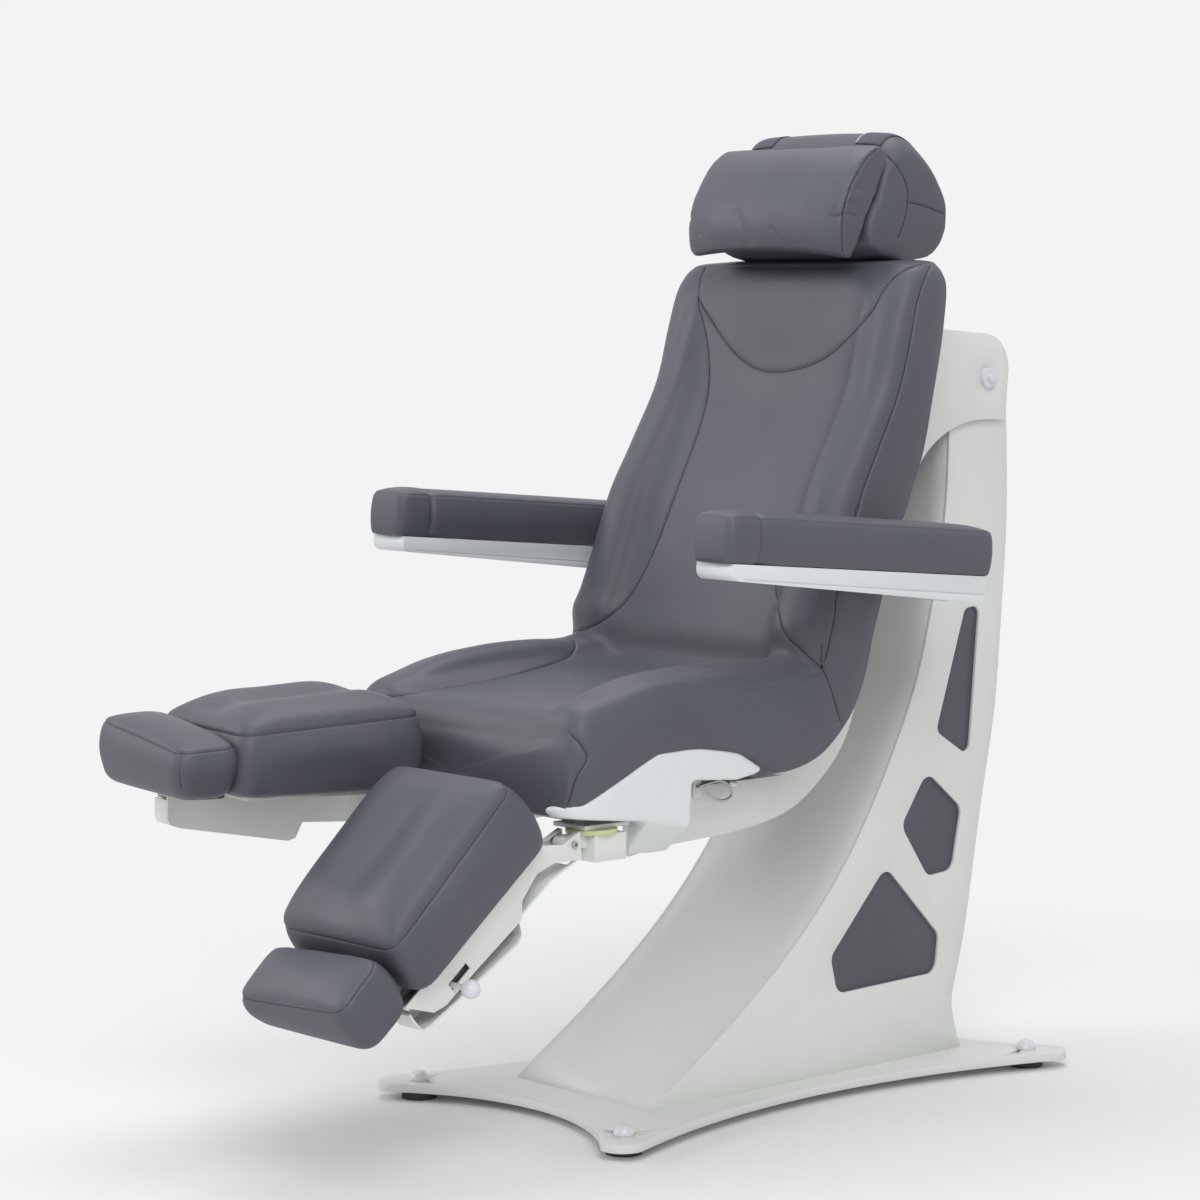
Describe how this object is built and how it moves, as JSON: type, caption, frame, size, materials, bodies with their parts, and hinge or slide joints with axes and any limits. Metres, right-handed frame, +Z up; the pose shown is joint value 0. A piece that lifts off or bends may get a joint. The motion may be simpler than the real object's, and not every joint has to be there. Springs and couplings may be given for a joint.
{
  "type": "podiatry chair",
  "caption": "Power podiatry chair with a one piece bucket seat hung from a sail shaped column, hinged armrests, headrest and separate swinging leg rests with foot pads.",
  "frame": {"origin": "on the floor under the centre of the base plate", "axes": "+Z up, -Y the way the patient's feet point, +X the patient's left"},
  "size_m": [0.766, 1.3704, 1.3849],
  "materials": {
    "white_paint": "satin",
    "zinc": "satin",
    "upholstery": "matt grain",
    "black_rubber": "matt",
    "white_plastic": "gloss",
    "panel": "matt",
    "nylon_ring": "matt",
    "black_plastic": "matt",
    "board": "plain",
    "steel_rod": "polished",
    "black_paint": "satin",
    "guide_plastic": "matt"
  },
  "bodies": {
    "base": {"base_plate": "white_paint", "foot_caps": "white_plastic", "column_cheek_left": "white_paint", "column_cheek_right": "white_paint", "column_front_skin": "white_paint", "column_rear_cover": "white_paint", "window_panels": "panel", "mast_guide_pads": "guide_plastic", "column_crossmembers": "black_paint", "lift_actuator": "black_plastic", "control_box": "black_plastic", "power_inlet": "black_plastic"},
    "mast": {"mast": "zinc", "mast_head": "white_paint", "lift_actuator_rod": "steel_rod", "pivot_shaft": "zinc"},
    "carrier": {"carrier_plate_left": "white_paint", "carrier_plate_right": "white_paint", "pivot_bushes": "white_plastic", "carrier_crosstubes": "white_paint", "seat_frame": "white_paint", "seat_pan": "board", "seat_cushion": "upholstery", "back_board": "board", "back_cushion": "upholstery", "side_fairing_left": "white_plastic", "side_fairing_right": "white_plastic", "swivel_rings": "nylon_ring", "headrest_sleeves": "zinc", "armrest_shaft": "zinc"},
    "tilt_drive": {"tilt_actuator": "black_plastic"},
    "tilt_rod": {"tilt_actuator_rod": "steel_rod"},
    "headrest": {"headrest_bars": "steel_rod", "head_roll": "upholstery", "head_pillow": "upholstery", "head_straps": "upholstery"},
    "foot_front_left": {"levelling_foot_front_left": "black_rubber"},
    "foot_rear_left": {"levelling_foot_rear_left": "black_rubber"},
    "armrest_left": {"armrest_tray_left": "white_paint", "armrest_pad_left": "upholstery"},
    "leg_swivel_left": {"swivel_block_left": "white_paint"},
    "leg_left": {"leg_arm_left": "white_paint", "leg_hinge_pin_left": "zinc", "calf_pad_left": "upholstery"},
    "foot_support_left": {"foot_slide_left": "zinc", "foot_pad_left": "upholstery"},
    "knob_left": {"clamp_knob_left": "white_plastic"},
    "loop_left": {"release_loop_left": "zinc"},
    "foot_front_right": {"levelling_foot_front_right": "black_rubber"},
    "foot_rear_right": {"levelling_foot_rear_right": "black_rubber"},
    "armrest_right": {"armrest_tray_right": "white_paint", "armrest_pad_right": "upholstery"},
    "leg_swivel_right": {"swivel_block_right": "white_paint"},
    "leg_right": {"leg_arm_right": "white_paint", "leg_hinge_pin_right": "zinc", "calf_pad_right": "upholstery"},
    "foot_support_right": {"foot_slide_right": "zinc", "foot_pad_right": "upholstery"},
    "knob_right": {"clamp_knob_right": "white_plastic"},
    "loop_right": {"release_loop_right": "zinc"}
  },
  "joints": [
    {"name": "lift", "type": "slide", "parent": "base", "child": "mast", "axis": [0, 0, 1], "range_m": [0, 0.3]},
    {"name": "seat_tilt", "type": "hinge", "parent": "mast", "child": "carrier", "pos_m": [0, 0.37475, 1.028], "axis": [-1, 0, 0], "range_deg": [0, 20]},
    {"name": "tilt_drive_swing", "type": "hinge", "parent": "mast", "child": "tilt_drive", "pos_m": [0, 0.23975, 1.012], "axis": [-1, 0, 0], "range_deg": [0, 25]},
    {"name": "tilt_rod_slide", "type": "slide", "parent": "tilt_drive", "child": "tilt_rod", "axis": [0, -0.2871, -0.9579], "range_m": [-0.041, 0]},
    {"name": "headrest_height", "type": "slide", "parent": "carrier", "child": "headrest", "axis": [0, 0, 1], "range_m": [0, 0.08]},
    {"name": "levelling_front_left", "type": "hinge", "parent": "base", "child": "foot_front_left", "pos_m": [0.22, -0.405, 0], "axis": [0, 0, 1], "range_deg": [-180, 180]},
    {"name": "levelling_rear_left", "type": "hinge", "parent": "base", "child": "foot_rear_left", "pos_m": [0.22, 0.405, 0], "axis": [0, 0, 1], "range_deg": [-180, 180]},
    {"name": "armrest_left_lift", "type": "hinge", "parent": "carrier", "child": "armrest_left", "pos_m": [0.345, 0.10977, 0.747], "axis": [-1, 0, 0], "range_deg": [0, 80]},
    {"name": "leg_left_swing", "type": "hinge", "parent": "carrier", "child": "leg_swivel_left", "pos_m": [0.2, -0.44525, 0.4292], "axis": [0, 0, 1], "range_deg": [0, 30]},
    {"name": "leg_left_lower", "type": "hinge", "parent": "leg_swivel_left", "child": "leg_left", "pos_m": [0.2, -0.49525, 0.4292], "axis": [1, 0, 0], "range_deg": [-42, 20]},
    {"name": "foot_left_reach", "type": "slide", "parent": "leg_left", "child": "foot_support_left", "axis": [0, -0.766, -0.6428], "range_m": [-0.03, 0]},
    {"name": "clamp_knob_left_turn", "type": "hinge", "parent": "foot_support_left", "child": "knob_left", "pos_m": [0.26, -0.70302, 0.26922], "axis": [1, 0, 0], "range_deg": [0, 180]},
    {"name": "release_loop_left_pull", "type": "hinge", "parent": "carrier", "child": "loop_left", "pos_m": [0.2, -0.24825, 0.4809], "axis": [-1, 0, 0], "range_deg": [0, 20], "stiffness_Nm_per_rad": 0.5, "springref_deg": -5.73},
    {"name": "levelling_front_right", "type": "hinge", "parent": "base", "child": "foot_front_right", "pos_m": [-0.22, -0.405, 0], "axis": [0, 0, 1], "range_deg": [-180, 180]},
    {"name": "levelling_rear_right", "type": "hinge", "parent": "base", "child": "foot_rear_right", "pos_m": [-0.22, 0.405, 0], "axis": [0, 0, 1], "range_deg": [-180, 180]},
    {"name": "armrest_right_lift", "type": "hinge", "parent": "carrier", "child": "armrest_right", "pos_m": [-0.345, 0.10977, 0.747], "axis": [-1, 0, 0], "range_deg": [0, 80]},
    {"name": "leg_right_swing", "type": "hinge", "parent": "carrier", "child": "leg_swivel_right", "pos_m": [-0.2, -0.44525, 0.4292], "axis": [0, 0, -1], "range_deg": [-8, 22]},
    {"name": "leg_right_lower", "type": "hinge", "parent": "leg_swivel_right", "child": "leg_right", "pos_m": [-0.20696, -0.49476, 0.4292], "axis": [0.9903, -0.1392, 0], "range_deg": [0, 62]},
    {"name": "foot_right_reach", "type": "slide", "parent": "leg_right", "child": "foot_support_right", "axis": [-0.1391, -0.9897, 0.0349], "range_m": [-0.0135, 0.0165]},
    {"name": "clamp_knob_right_turn", "type": "hinge", "parent": "foot_support_right", "child": "knob_right", "pos_m": [-0.30047, -0.72899, 0.44876], "axis": [-0.9903, 0.1392, 0], "range_deg": [0, 180]},
    {"name": "release_loop_right_pull", "type": "hinge", "parent": "carrier", "child": "loop_right", "pos_m": [-0.2, -0.24825, 0.4809], "axis": [-1, 0, 0], "range_deg": [0, 20], "stiffness_Nm_per_rad": 0.5, "springref_deg": -5.73}
  ],
  "couplings": [
    {"joint": "tilt_drive_swing", "follows": "seat_tilt", "ratio": 1.2122},
    {"joint": "tilt_rod_slide", "follows": "seat_tilt", "m_per_rad": -0.1101}
  ]
}
